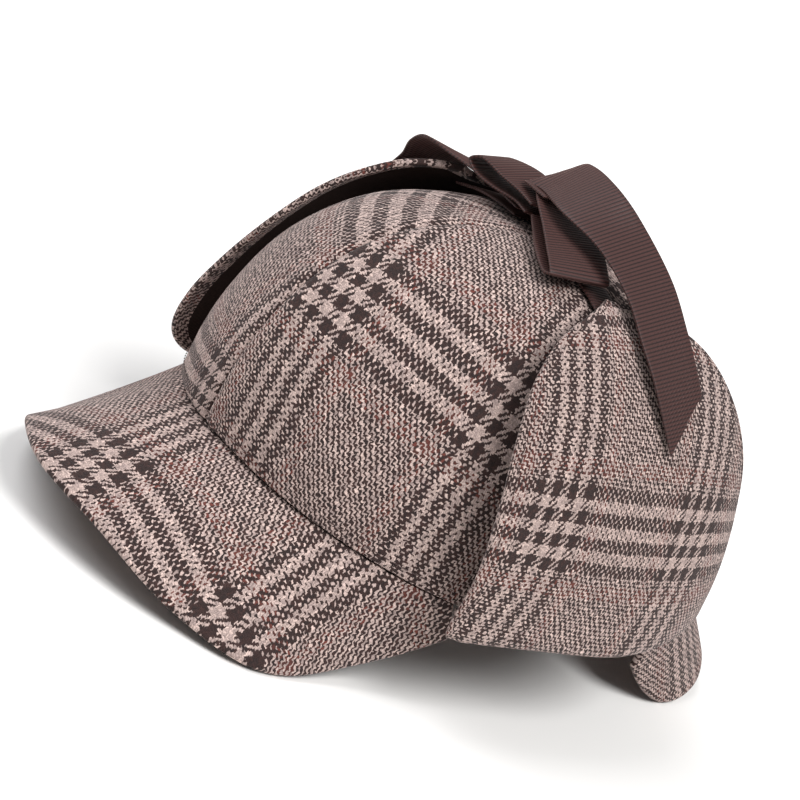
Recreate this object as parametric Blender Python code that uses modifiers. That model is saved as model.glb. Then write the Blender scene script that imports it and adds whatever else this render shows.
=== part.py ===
"""Deerstalker hat: four-gore crown, front and back peak, two ear flaps tied over the top with a bow.

Sizes are in millimetres. The wearer's left is +X, the back is +Y and up is +Z. Angles run round the
head from the left ear at 0 to the nape at 90 and the forehead at -90. Latitudes run up the crown
from the rim at 0 to the apex at 90. A gap is a height off the crown's outer face.
"""

import math
from bisect import bisect
from collections import namedtuple

import bmesh
import bpy
from mathutils import Matrix, Vector

MM = 0.001

# Crown, on its outer face
HALF_LENGTH = 104.0     # rim centre to forehead and to nape
HALF_WIDTH = 87.0       # rim centre to ear
HEIGHT = 95.8           # rim plane to apex
FULLNESS = 0.74         # power of the latitude's cosine; 1 would be an ellipsoid
APEX_FORWARD = 10.1     # the apex lies this far towards the forehead
EAR_DIP = 5.9           # the rim dips over both ears
NAPE_RISE = 4.4         # and stands higher at the nape than at the forehead
CROWN_WALL = 2.0
TOP_LATITUDE = 89.65    # the gores end here, round a 4 mm hole at the apex
SEAM_GAP = 0.6          # between two gores

# How the hat stands: both peaks touch the floor, and the middle of its box is over the origin
RIM_CENTRE = Vector((-0.14, 7.83, 45.11))
REST_TIP = -0.25        # degrees about X that bring both peaks to the floor

PEAK_WALL = 3.0
FLAP_WALL = 2.6
RIBBON_WALL = 1.2
SEWN_GAP = 0.7          # between the rim and what is sewn under it
ROOT_DEPTH = 1.2        # how far under the crown's wall a peak starts

# A peak's length from the rim and its slope below level, from its middle at 0 to either end at 1.
# The first cut is the third one's mirror image.
Peak = namedtuple("Peak", "name faces half_angle cuts")
Cut = namedtuple("Cut", "share length slope")
PEAKS = (
    Peak("front_peak", -90, 68, (
        Cut(-0.2, 54.6, 32.3),
        Cut(0.0, 57.8, 27.3),
        Cut(0.2, 54.6, 32.3),
        Cut(0.4, 53.1, 46.0),
        Cut(0.6, 50.3, 55.0),
        Cut(0.8, 35.2, 80.0),
        Cut(1.0, 19.4, 97.2),
    )),
    Peak("back_peak", 90, 44, (
        Cut(-0.25, 56.2, 53.0),
        Cut(0.0, 56.0, 50.2),
        Cut(0.25, 56.2, 53.0),
        Cut(0.5, 56.0, 62.0),
        Cut(0.75, 50.8, 76.6),
        Cut(1.0, 33.3, 96.0),
    )),
)

# An ear flap, from its fold at the rim to its tip, as if it were the left one: the angles of its
# front and back edge, and its wall's gap at its front edge, middle and back edge. The front end of
# its fold hangs by `sag`.
Flap = namedtuple("Flap", "name side sag edges")
Edge = namedtuple("Edge", "latitude front_angle back_angle front_gap middle_gap back_gap")
FLAPS = (
    Flap("ear_flap_left", 1, 7.0, (
        Edge(0, -24.8, 44.6, 16.0, 9.2, 5.0),
        Edge(10, -24.3, 45.0, 18.0, 9.0, 6.0),
        Edge(23, -25.4, 46.0, 18.0, 8.2, 7.5),
        Edge(34, -26.5, 46.0, 16.0, 7.6, 9.5),
        Edge(46, -26.3, 45.0, 13.3, 7.2, 9.7),
        Edge(57, -21.5, 41.0, 10.5, 7.2, 9.0),
        Edge(64, -13.0, 33.0, 8.8, 7.0, 8.0),
        Edge(70, -3.0, 17.0, 7.0, 6.8, 7.0),
    )),
    Flap("ear_flap_right", -1, 12.5, (
        Edge(0, -32.0, 44.6, 23.4, 9.2, 5.0),
        Edge(7, -32.0, 45.0, 21.2, 9.0, 6.0),
        Edge(15, -32.0, 46.0, 17.3, 8.6, 7.0),
        Edge(23, -32.0, 46.0, 14.0, 8.2, 8.0),
        Edge(31, -31.0, 46.0, 12.2, 7.8, 9.0),
        Edge(40, -28.5, 45.0, 11.8, 7.4, 9.6),
        Edge(49, -25.0, 44.0, 11.4, 7.2, 9.7),
        Edge(57, -20.5, 40.0, 11.4, 7.2, 9.4),
        Edge(63, -16.5, 33.0, 10.6, 7.0, 8.4),
        Edge(68, -10.0, 17.0, 9.4, 6.8, 7.4),
    )),
)
FLAP_ROOT = (-21.6, 44.6)   # angles of the front and back end of a flap's seam
FLARE = 0.45            # share of the flap's width over which its front edge bends away
FOLD_SHARE = 0.25       # share of the grid's rows that make the fold at the rim
FOLD_TOP = 1.2          # latitude at which the fold has turned up
BACK_SAG = 3.8          # how far the fold's back end hangs

# Ribbon sections, from the crown's apex. The width runs towards +Y, turned towards -X and leaned up.
Section = namedtuple("Section", "x y z width turn lean")
RIBBONS = {
    "ribbon_lead_left": (
        Section(48.5, 1.0, -6.6, 17, 0, 0),
        Section(41.0, 0.5, -3.9, 17, 0, 0),
        Section(33.0, -0.5, -1.9, 17, 0, 0),
        Section(20.0, -1.0, 0.4, 17, 0, 0),
        Section(2.4, -2.0, 2.2, 17, 0, 0),
    ),
    "ribbon_lead_right": (
        Section(-48.5, 1.0, -6.6, 17, 0, 0),
        Section(-40.0, 0.5, -3.7, 17, 0, 0),
        Section(-30.0, 0.0, -1.2, 17, 0, 0),
        Section(-20.0, -0.5, 0.4, 17, 0, 0),
        Section(-9.4, -1.5, 1.6, 17, 0, 0),
    ),
    "bow_loop_left": (
        Section(2.5, -3.0, 9.2, 20, 0, -6),
        Section(11.0, -4.5, 9.0, 23, 5, 2),
        Section(23.0, -7.0, 6.8, 25, 3, 7),
        Section(31.5, -9.6, 4.3, 25, 0, 5),
        Section(35.5, -10.6, 2.2, 25, -3, 4),
        Section(32.0, -10.6, 0.6, 25, -3, 2),
        Section(20.0, -8.5, 2.6, 24, 0, 0),
        Section(2.5, -3.0, 5.2, 20, 0, 0),
    ),
    "bow_loop_right": (
        Section(-9.5, -2.0, 10.8, 20, 0, 3),
        Section(-18.6, -7.5, 12.9, 24, 18, 5),
        Section(-28.0, -13.0, 13.0, 25, 27, -3),
        Section(-31.0, -15.0, 10.4, 25, 27, -3),
        Section(-28.0, -13.0, 7.6, 25, 27, -3),
        Section(-19.0, -8.0, 6.8, 23, 16, 0),
        Section(-9.5, -2.5, 7.2, 20, 0, 0),
    ),
    "ribbon_tail_left": (
        Section(1.5, -2.0, 14.5, 20, 0, 0),
        Section(-7.0, -1.5, 15.0, 21, 0, 6),
        Section(-13.5, -0.5, 17.2, 23, 10, 20),
        Section(-7.6, 0.4, 20.4, 24, 18, 28),
        Section(11.0, -1.0, 21.0, 24, 8, 31),
        Section(26.0, 6.0, 16.5, 24, 17, 20),
        Section(43.7, 11.8, 8.3, 24, 18, 15),
        Section(57.7, 15.5, -1.7, 24.5, 19, 13),
        Section(66.4, 20.8, -11.2, 25, 21, 10),
        Section(76.6, 33.4, -30.5, 25, 22, 8),
    ),
    "ribbon_tail_right": (
        Section(-9.4, -1.0, 4.4, 20, 0, 0),
        Section(-24.0, 1.0, 3.8, 23, 0, 0),
        Section(-37.0, 0.5, 3.4, 25, 0, 0),
        Section(-47.0, -4.5, 2.6, 25, 0, -4),
        Section(-56.5, -10.0, 1.4, 25, -5, -10),
        Section(-63.0, -9.5, -3.4, 25, -5, -8),
        Section(-70.0, -5.5, -11.0, 25, 0, -4),
        Section(-93.0, -4.0, -46.0, 25, 0, 0),
    ),
}
END_CUT = 18.0          # a tail's end is cut aslant by this much

# Knot round the gathered ribbons, from the crown's apex
KNOT_CENTRE = Vector((-3.5, -2.0, 6.9))
KNOT_SIZE = Vector((11.0, 24.0, 13.0))
KNOT_ROUNDING = 2.2


def rim_height(angle):
    """Height of the rim above its plane."""
    turn = math.radians(angle)
    return NAPE_RISE * math.sin(turn) - EAR_DIP * math.cos(2 * turn)


def crown_face(angle, latitude):
    """A point of the crown's outer face, from the rim's centre."""
    turn, climb = math.radians(angle), math.radians(latitude)
    spread = max(math.cos(climb), 0.0) ** FULLNESS
    return Vector((
        HALF_WIDTH * spread * math.cos(turn),
        HALF_LENGTH * spread * math.sin(turn) - APEX_FORWARD * math.sin(climb),
        rim_height(angle) * (1 - math.sin(climb)) + HEIGHT * math.sin(climb),
    ))


def crown_point(angle, latitude, gap=0.0):
    """A point at a height off the crown's outer face."""
    here = crown_face(angle, latitude)
    step = 0.05
    aside = crown_face(angle + step, latitude) - here
    above = crown_face(angle, latitude + step) - here
    return here + gap * aside.cross(above).normalized()


def rim_outward(angle):
    """Level unit vector that points out of the rim."""
    turn = math.radians(angle)
    return Vector((HALF_LENGTH * math.cos(turn), HALF_WIDTH * math.sin(turn), 0)).normalized()


def smooth(xs, ys, x):
    """Value at x of a smooth curve through the points (xs, ys)."""
    last = len(xs) - 1
    i = min(max(bisect(xs, x) - 1, 0), last - 1)

    def rise(k):
        before, after = max(k - 1, 0), min(k + 1, last)
        return (ys[after] - ys[before]) / (xs[after] - xs[before])

    span = xs[i + 1] - xs[i]
    t = (x - xs[i]) / span
    start = (1 + 2 * t) * (1 - t) ** 2 * ys[i] + t * (1 - t) ** 2 * span * rise(i)
    end = t * t * (3 - 2 * t) * ys[i + 1] + t * t * (t - 1) * span * rise(i + 1)
    return start + end


def material(name, colour, roughness):
    made = bpy.data.materials.new(name)
    made.use_nodes = True
    shader = made.node_tree.nodes["Principled BSDF"]
    shader.inputs["Base Color"].default_value = (*colour, 1.0)
    shader.inputs["Roughness"].default_value = roughness
    shader.inputs["Metallic"].default_value = 0.0
    return made


def standing(point):
    """Where a point from the rim's centre lies when the hat stands on its peaks, in metres."""
    return (RIM_CENTRE + Matrix.Rotation(math.radians(REST_TIP), 3, "X") @ point) * MM


def sheet(name, columns, rows, place, wall, offset, finish):
    """A grid laid out by place(u, v), u and v from 0 to 1, and given a wall."""
    grid = bmesh.new()
    bmesh.ops.create_grid(grid, x_segments=columns, y_segments=rows, size=0.5)
    for vert in grid.verts:
        vert.co = standing(place(vert.co.x + 0.5, vert.co.y + 0.5))
    mesh = bpy.data.meshes.new(name)
    grid.to_mesh(mesh)
    grid.free()
    mesh.materials.append(finish)
    piece = bpy.data.objects.new(name, mesh)
    hat.objects.link(piece)
    solid = piece.modifiers.new("wall", "SOLIDIFY")
    solid.thickness = wall * MM
    solid.offset = offset
    return piece


def gore(name, start, finish):
    """A quarter of the crown, from one seam to the next."""

    def place(u, v):
        latitude = TOP_LATITUDE * math.sin(math.radians(90 * v))
        radius = HALF_WIDTH * math.cos(math.radians(latitude)) ** FULLNESS
        inset = math.degrees(SEAM_GAP / 2 / radius)
        return crown_point(start + inset + u * (90 - 2 * inset), latitude)

    sheet(name, 14, 14, place, CROWN_WALL, -1, finish)


def peak(shape, finish):
    """A stiff peak that starts under the crown's wall and slopes down and out."""

    shares, lengths, slopes = zip(*shape.cuts)

    def place(u, v):
        side = 1 - 2 * u
        angle = shape.faces + shape.half_angle * side
        length = smooth(shares, lengths, abs(side))
        slope = math.radians(smooth(shares, slopes, abs(side)))
        rim = crown_face(angle, 0)
        outward = rim_outward(angle)
        root = rim - ROOT_DEPTH * outward - Vector((0, 0, SEWN_GAP))
        edge = rim + length * (math.cos(slope) * outward - Vector((0, 0, math.sin(slope))))
        return root.lerp(edge, v)

    sheet(shape.name, 40, 5, place, PEAK_WALL, -1, finish)


def fold_point(root, far, reach, sag, along):
    """A point of a flap's fold, which runs out under the crown's wall and turns up.

    `root` and `far` are the angles of its sewn side and of its turned-up side.
    """
    low = SEWN_GAP + FLAP_WALL / 2
    out = (-CROWN_WALL, 0.45 * reach, 1.0 * reach, reach)
    up = (-low, -low - sag, -low - sag, 2.0)
    weights = ((1 - along) ** 3, 3 * along * (1 - along) ** 2, 3 * along ** 2 * (1 - along), along ** 3)
    offset = sum(w * a for w, a in zip(weights, out))
    height = sum(w * a for w, a in zip(weights, up))
    swing = max(0.0, (offset - CROWN_WALL) / (reach - CROWN_WALL))
    angle = root + swing * (far - root)
    return crown_face(angle, 0) + offset * rim_outward(angle) + Vector((0, 0, height))


def ear_flap(flap, finish):
    """A flap sewn under the rim, folded up outside the crown to its tip near the apex."""
    latitudes, *edges = zip(*flap.edges)

    def place(u, v):
        share = 1 - u if flap.side < 0 else u
        climb = max(0.0, (v - FOLD_SHARE) / (1 - FOLD_SHARE))
        latitude = FOLD_TOP + climb * (latitudes[-1] - FOLD_TOP)
        front, back, front_gap, middle_gap, back_gap = (
            smooth(latitudes, edge, latitude) for edge in edges)
        angle = front + share * (back - front)
        flare = max(0.0, 1 - share / FLARE) ** 2
        gap = middle_gap + (front_gap - middle_gap) * flare + (back_gap - middle_gap) * share ** 4
        if v < FOLD_SHARE:
            root = FLAP_ROOT[0] + share * (FLAP_ROOT[1] - FLAP_ROOT[0])
            sag = BACK_SAG * share ** 2 + flap.sag * max(0.0, 1 - 2 * share) ** 2.2
            point = fold_point(root, angle, gap, sag, v / FOLD_SHARE)
        else:
            point = crown_point(angle, latitude, gap)
        return Vector((flap.side * point.x, point.y, point.z))

    sheet(flap.name, 12, 20, place, FLAP_WALL, 0, finish)


def ribbon(name, sections, finish, cut=0.0):
    """A flat ribbon through its sections, in their order, with its far end cut aslant."""
    apex = crown_face(0, 90)
    run = [0.0]
    for a, b in zip(sections, sections[1:]):
        run.append(run[-1] + math.dist(a[:3], b[:3]))

    def place(u, v):
        distance = v * (run[-1] - cut * u)
        x, y, z, width, turn, lean = (smooth(run, column, distance) for column in zip(*sections))
        turn, lean = math.radians(turn), math.radians(lean)
        across = Vector((
            -math.sin(turn) * math.cos(lean), math.cos(turn) * math.cos(lean), math.sin(lean)))
        return apex + Vector((x, y, z)) + (u - 0.5) * width * across

    sheet(name, 3, 5 * (len(sections) - 1), place, RIBBON_WALL, 0, finish)


def knot(name, finish):
    """The wrap round the middle of the bow: a flattened drum whose axis is the bow's length."""
    drum = bmesh.new()
    bmesh.ops.create_cone(drum, cap_ends=True, segments=24, radius1=0.5, radius2=0.5, depth=1)
    centre = crown_face(0, 90) + KNOT_CENTRE
    for vert in drum.verts:
        lying = Vector((-vert.co.z, vert.co.y, vert.co.x))
        vert.co = standing(centre + KNOT_SIZE * lying)
    mesh = bpy.data.meshes.new(name)
    drum.to_mesh(mesh)
    drum.free()
    mesh.materials.append(finish)
    piece = bpy.data.objects.new(name, mesh)
    hat.objects.link(piece)
    rounding = piece.modifiers.new("rounding", "BEVEL")
    rounding.width = KNOT_ROUNDING * MM
    rounding.segments = 3


for old in list(bpy.data.objects):
    bpy.data.objects.remove(old)

hat = bpy.data.collections.new("deerstalker_hat")
bpy.context.scene.collection.children.link(hat)

tweed = material("tweed", (0.24, 0.18, 0.15), 0.95)
grosgrain = material("grosgrain", (0.045, 0.026, 0.022), 0.6)

for quarter, first_seam in (
        ("crown_front_left", -90), ("crown_back_left", 0),
        ("crown_back_right", 90), ("crown_front_right", 180)):
    gore(quarter, first_seam, tweed)
for shape in PEAKS:
    peak(shape, tweed)
for flap in FLAPS:
    ear_flap(flap, tweed)
for strip, sections in RIBBONS.items():
    ribbon(strip, sections, grosgrain, END_CUT if "tail" in strip else 0.0)
knot("bow_knot", grosgrain)
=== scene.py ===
# Deerstalker hat in checked tweed, its ear flaps tied over the crown with a grosgrain bow.
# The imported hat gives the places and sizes. This script dresses it in cloth, ribbon and thread.
# Lengths are millimetres from the middle of the rim until a mesh is made. The wearer's left is +X,
# the forehead is -Y. Angles run round the head from the left ear, latitudes up from the rim.

import math
from bisect import bisect
from functools import partial

import bpy
import numpy as np
from mathutils import Matrix, Vector


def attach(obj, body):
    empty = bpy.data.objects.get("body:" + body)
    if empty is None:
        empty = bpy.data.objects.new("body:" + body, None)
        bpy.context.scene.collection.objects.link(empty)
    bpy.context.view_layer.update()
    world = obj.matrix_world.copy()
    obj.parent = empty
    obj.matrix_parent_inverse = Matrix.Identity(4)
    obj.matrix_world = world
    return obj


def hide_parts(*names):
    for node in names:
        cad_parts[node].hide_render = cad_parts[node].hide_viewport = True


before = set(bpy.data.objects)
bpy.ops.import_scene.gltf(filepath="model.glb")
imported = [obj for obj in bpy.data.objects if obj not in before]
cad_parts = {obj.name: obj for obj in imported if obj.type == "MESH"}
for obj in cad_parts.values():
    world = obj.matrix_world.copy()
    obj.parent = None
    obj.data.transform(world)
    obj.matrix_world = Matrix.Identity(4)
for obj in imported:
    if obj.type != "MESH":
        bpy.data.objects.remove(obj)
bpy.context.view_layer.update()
mm = 0.001

# How the hat stands on the floor, on its two peaks
stance = {"rimCentre": Vector((-0.14, 7.83, 45.11)), "tip": -0.25}
standTurn = Matrix.Rotation(math.radians(stance["tip"]), 3, "X")


def standing(point):
    return (stance["rimCentre"] + standTurn @ Vector(point)) * mm


def linear(hexCode):
    parts = [int(hexCode[k:k + 2], 16) / 255 for k in (0, 2, 4)]
    return tuple(c / 12.92 if c <= 0.04045 else ((c + 0.055) / 1.055) ** 2.4 for c in parts) + (1.0,)


# Adds one node and gives back its first output in use. Its inputs come in order, or by name with a
# capital letter, and its settings by name with a small one
def addNode(tree, kind, *inOrder, **named):
    node = tree.nodes.new(kind if "Node" in kind else "ShaderNode" + kind)
    for key, value in named.items():
        if key[0].islower():
            setattr(node, key, value)
    given = list(zip([socket for socket in node.inputs if socket.enabled], inOrder))
    given += [(node.inputs[key.replace("_", " ")], value) for key, value in named.items() if key[0].isupper()]
    for socket, value in given:
        if isinstance(value, bpy.types.NodeSocket):
            tree.links.new(value, socket)
        else:
            socket.default_value = value
    return next((socket for socket in node.outputs if socket.enabled), None)


# A material without nodes, and addNode for its own tree
def newMaterial(name):
    made = bpy.data.materials.new(name)
    made.use_nodes = True
    made.node_tree.nodes.clear()
    return made, partial(addNode, made.node_tree)


# A colour made lighter or darker
def toned(node, shade, tone):
    grey = node("CombineXYZ", tone, tone, tone)
    return node("Mix", 1.0, shade, grey, data_type="RGBA", blend_type="MULTIPLY")


# Ends a material with its relief and its shader
def finishMaterial(node, shade, height, look):
    bump = node("Bump", Height=height, **look["bump"])
    node("OutputMaterial", node("BsdfPrincipled", Base_Color=shade, Normal=bump, **look["surface"]))


# Wool tweed: carded woollen yarn in a two-and-two twill, glen check with a rust overcheck. Its
# colour is broken up yarn by yarn, it is matt, and its short nap gives a faint pale sheen. Each
# scale is a number of noise cells in a metre of cloth.
tweedLook = {
    "warpPitch": 0.53, "weftPitch": 0.74,       # mm from yarn to yarn
    "twill": 4.0,               # yarns in its repeat, over two and under two
    "groupThreads": 6,
    "bandThreads": 42,          # four dark and three light groups
    "repeatThreads": 120,       # the rest is one dark, one light
    "rustFrom": 51,             # middle of a rust line, in threads from the band's first edge
    "rustHalf": 3.2,            # and its half width, where the dark yarns are rust
    "cream": ("d3bbb2", "ab9792"),      # each yarn is blended from two dyed wools
    "dark": ("1f1719", "362220"),
    "rust": ("6a342c", "44231f"),
    "wobble": 1.1, "wobbleScale": 160.0,        # how far a yarn strays, in threads
    "fray": 1.3, "frayScale": 950.0,
    "slubStep": (3.7, 0.22),    # noise cells from yarn to yarn, and in each thread's width along one
    "slubTone": (0.9, 0.4),     # how much a yarn's tone changes along it, and its least
    "floatTone": 0.3,           # and from float to float
    "roundness": 0.6,           # below 1 is flatter on top than a half round
    # the first pair is painted shade, darker where a yarn dips; the second is the fuzz's random tone
    "valleyShadeTone": (0.62, 0.42), "fuzzTone": (0.7, 0.67),
    "fuzzScale": 2600.0, "fuzzHeight": 0.6,
    "haze": 0.11, "hazeColour": "766661",       # loose fibres that lie across the yarns
    "bump": {"Strength": 0.6, "Distance": 0.00022},
    "surface": {"Roughness": 0.92, "Specular IOR Level": 0.15, "Sheen Weight": 0.12, "Sheen Roughness": 0.4},
}


def tweedMaterial(name, look):
    made, node = newMaterial(name)
    cloth = node("UVMap", uv_map="cloth")
    wander = node("TexNoise", cloth, Scale=look["wobbleScale"], Detail=1.0).node.outputs["Color"]
    crinkle = node("TexNoise", cloth, Scale=look["frayScale"], Detail=1.0).node.outputs["Color"]
    place, strays, frays = (node("SeparateXYZ", each).node.outputs for each in (cloth, wander, crinkle))

    def threadPlace(axis, pitch):
        stray = node("Math", strays[axis], look["wobble"] * 2, -look["wobble"], operation="MULTIPLY_ADD")
        fray = node("Math", frays[axis], look["fray"] * 2, -look["fray"], operation="MULTIPLY_ADD")
        straight = node("Math", place[axis], 1000.0 / pitch, operation="MULTIPLY")
        return node("Math", straight, node("Math", stray, fray, operation="ADD"), operation="ADD")

    warpAt, weftAt = threadPlace(0, look["warpPitch"]), threadPlace(1, look["weftPitch"])
    warp, weft = node("Math", warpAt, operation="FLOOR"), node("Math", weftAt, operation="FLOOR")
    step = node("Math", warp, weft, operation="SUBTRACT")
    step = node("Math", step, look["twill"], operation="FLOORED_MODULO")
    warpUp = node("Math", step, look["twill"] / 2 - 0.5, operation="LESS_THAN")

    # Where each float lies along its yarn, from 0 to 2 while it is on top
    warpRun = node("Math", node("Math", warp, weftAt, operation="SUBTRACT"), 1.0, operation="ADD")
    weftRun = node("Math", warpAt, weft, operation="SUBTRACT")
    weftRun = node("Math", weftRun, look["twill"] / 2, operation="SUBTRACT")

    # The order of the yarns, the same in warp and weft
    def yarnColour(thread, along, run):
        group, band = look["groupThreads"], look["bandThreads"]
        turn = node("Math", thread, float(look["repeatThreads"]), operation="FLOORED_MODULO")
        inBand = node("Math", turn, band - 0.5, operation="LESS_THAN")
        inGroups = node("Math", turn, 2.0 * group, operation="FLOORED_MODULO")
        bandDark = node("Math", inGroups, group - 0.5, operation="LESS_THAN")
        inPair = node("Math", turn, 2.0, operation="FLOORED_MODULO")
        plainDark = node("Math", inPair, 0.5, operation="LESS_THAN")
        isDark = node("Mix", inBand, plainDark, bandDark, data_type="FLOAT")
        # a rust line runs on each side of the band, as far from the middle between two bands
        middle = (look["repeatThreads"] + band) / 2
        offMiddle = node("Math", node("Math", turn, middle, operation="SUBTRACT"), operation="ABSOLUTE")
        offRust = node("Math", offMiddle, middle - look["rustFrom"], operation="SUBTRACT")
        offRust = node("Math", offRust, operation="ABSOLUTE")
        isRust = node("Math", offRust, look["rustHalf"], operation="LESS_THAN")
        isRust = node("Math", isRust, isDark, operation="MULTIPLY")
        # the share of each wool in a yarn changes from float to float
        number = node("Math", node("Math", run, look["twill"], operation="DIVIDE"), operation="FLOOR")
        chance = node("TexWhiteNoise", node("CombineXYZ", thread, number), noise_dimensions="2D")
        chances = node("SeparateXYZ", chance.node.outputs["Color"]).node.outputs
        cream, dark, rust = (
            node("Mix", share, linear(look[wool][0]), linear(look[wool][1]), data_type="RGBA")
            for wool, share in (("cream", chances[0]), ("dark", chances[1]), ("rust", chances[0])))
        shade = node("Mix", isDark, cream, dark, data_type="RGBA")
        shade = node("Mix", isRust, shade, rust, data_type="RGBA")
        # each yarn is a little lighter or darker along its length
        spot = [node("Math", at, cells, operation="MULTIPLY")
                for at, cells in zip((thread, along), look["slubStep"])]
        slub = node("TexNoise", node("CombineXYZ", *spot), Scale=1.0, Detail=2.0)
        tone = node("Math", slub, *look["slubTone"], operation="MULTIPLY_ADD")
        return toned(node, shade, node("Math", chances[2], look["floatTone"], tone, operation="MULTIPLY_ADD"))

    warpShade, weftShade = yarnColour(warp, weftAt, warpRun), yarnColour(weft, warpAt, weftRun)
    shade = node("Mix", warpUp, weftShade, warpShade, data_type="RGBA")

    # A yarn is round across and dips under its neighbours at each end of its float
    def yarnHeight(across, run):
        swell = node("Math", node("Math", across, operation="FRACT"), math.pi, operation="MULTIPLY")
        swell = node("Math", node("Math", swell, operation="SINE"), 0.0, operation="MAXIMUM")
        swell = node("Math", swell, look["roundness"], operation="POWER")
        arch = node("Math", run, look["twill"], operation="FLOORED_MODULO")
        arch = node("Math", arch, 2 * math.pi / look["twill"], operation="MULTIPLY")
        arch = node("Math", node("Math", arch, operation="SINE"), 0.5, 0.5, operation="MULTIPLY_ADD")
        return node("Math", swell, arch, operation="MULTIPLY")

    height = node("Mix", warpUp, yarnHeight(weftAt, weftRun), yarnHeight(warpAt, warpRun), data_type="FLOAT")
    fuzz = node("TexNoise", cloth, Scale=look["fuzzScale"], Detail=3.0)
    # painted shade: each yarn is darker where it dips beside and under its neighbours
    valleyShade = node("Math", height, *look["valleyShadeTone"], operation="MULTIPLY_ADD")
    nap = node("Math", fuzz, *look["fuzzTone"], operation="MULTIPLY_ADD")
    shade = toned(node, shade, node("Math", valleyShade, nap, operation="MULTIPLY"))
    loose = node("Math", node("Math", fuzz, 2.0, operation="MULTIPLY"), look["haze"], operation="MULTIPLY")
    shade = node("Mix", loose, shade, linear(look["hazeColour"]), data_type="RGBA")
    raised = node("Math", fuzz, look["fuzzHeight"], operation="MULTIPLY")
    finishMaterial(node, shade, node("Math", height, raised, operation="ADD"), look)
    return made


# Grosgrain: polyester ribbon with thick cross ribs under a fine close warp. Deep brown, with a
# soft rosy gloss on the ribs and painted shade as dark lines between them.
grosgrainLook = {
    "ribPitch": 1.35,           # mm; the mesh carries the same ribs
    "brown": "452a27", "grooveShade": "140c0c",
    "grooveSharp": 2.5,         # the higher, the narrower the painted shade line
    "warpStep": (3500.0, 500.0),        # noise cells in a metre, across and along
    "warpTone": (0.5, 0.75), "warpHeight": 0.5,
    "bump": {"Strength": 0.4, "Distance": 0.0002},
    "surface": {"Roughness": 0.5, "Specular IOR Level": 0.35, "Sheen Weight": 0.35, "Sheen Roughness": 0.35,
                "Sheen Tint": linear("d8b0a8")},
}


def grosgrainMaterial(name, look):
    made, node = newMaterial(name)
    place = node("SeparateXYZ", node("UVMap", uv_map="cloth")).node.outputs
    along = node("Math", place[1], 2 * math.pi * 1000 / look["ribPitch"], operation="MULTIPLY")
    rib = node("Math", node("Math", along, operation="COSINE"), 0.5, 0.5, operation="MULTIPLY_ADD")
    # painted shade: darker in the groove between two ribs
    grooveShade = node("Math", 1.0, rib, operation="SUBTRACT")
    grooveShade = node("Math", grooveShade, look["grooveSharp"], operation="POWER")
    shade = node("Mix", grooveShade, linear(look["brown"]), linear(look["grooveShade"]), data_type="RGBA")
    spot = [node("Math", at, step, operation="MULTIPLY") for at, step in zip(place, look["warpStep"])]
    warp = node("TexNoise", node("CombineXYZ", *spot), Scale=1.0, Detail=2.0)
    shade = toned(node, shade, node("Math", warp, *look["warpTone"], operation="MULTIPLY_ADD"))
    raised = node("Math", rib, node("Math", warp, look["warpHeight"], operation="MULTIPLY"), operation="ADD")
    finishMaterial(node, shade, raised, look)
    return made


# Painted shade for a flap's side towards the crown: close brushed cotton twill in a dark brown that
# stands in for the shadow in the gap between a flap and the crown
paintedShadeLook = {
    "pitch": 0.8,               # mm from ridge to ridge, along a thread
    "brown": "4a3a35", "valley": "1c1514", "napScale": 1400.0,
    "bump": {"Strength": 0.4, "Distance": 0.0002},
    "surface": {"Roughness": 0.95, "Specular IOR Level": 0.1},
}


def paintedShadeMaterial(name, look):
    made, node = newMaterial(name)
    cloth = node("UVMap", uv_map="cloth")
    place = node("SeparateXYZ", cloth).node.outputs
    slant = node("Math", place[0], place[1], operation="ADD")
    slant = node("Math", slant, 2 * math.pi * 1000 / look["pitch"], operation="MULTIPLY")
    ridge = node("Math", node("Math", slant, operation="SINE"), 0.5, 0.5, operation="MULTIPLY_ADD")
    nap = node("TexNoise", cloth, Scale=look["napScale"], Detail=3.0)
    lit = node("Math", ridge, nap, operation="MULTIPLY")
    shade = node("Mix", lit, linear(look["valley"]), linear(look["brown"]), data_type="RGBA")
    finishMaterial(node, shade, node("Math", ridge, nap, operation="ADD"), look)
    return made


# Sewing thread: spun polyester, dark brown, with a slight gloss on its twist
threadLook = {
    "dark": "1c1212", "light": "4a2f2b", "twistScale": 3000.0,
    "bump": {"Strength": 0.4, "Distance": 0.0001}, "surface": {"Roughness": 0.6},
}


def threadMaterial(name, look):
    made, node = newMaterial(name)
    twist = node("TexNoise", node("TexCoord").node.outputs["Object"], Scale=look["twistScale"], Detail=1.0)
    shade = node("Mix", twist, linear(look["dark"]), linear(look["light"]), data_type="RGBA")
    finishMaterial(node, shade, twist, look)
    return made


tweed = tweedMaterial("wool_tweed", tweedLook)
grosgrain = grosgrainMaterial("grosgrain_ribbon", grosgrainLook)
# painted shade for the flaps' sides towards the crown
paintedShade = paintedShadeMaterial("flap_inside_painted_shade", paintedShadeLook)
thread = threadMaterial("sewing_thread", threadLook)
print("materials made")

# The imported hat's own crown, to its outer face. A fullness below 1 rounds it out more than a ball
crown = {
    "halfLength": 104.0, "halfWidth": 87.0, "height": 95.8, "fullness": 0.74, "apexForward": 10.1,
    "earDip": 5.9, "napeRise": 4.4, "wall": 2.0,
    "sewnGap": 0.7,     # between the rim and what is sewn under it
}


def rimHeight(angle):
    turn = math.radians(angle)
    return crown["napeRise"] * math.sin(turn) - crown["earDip"] * math.cos(2 * turn)


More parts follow.
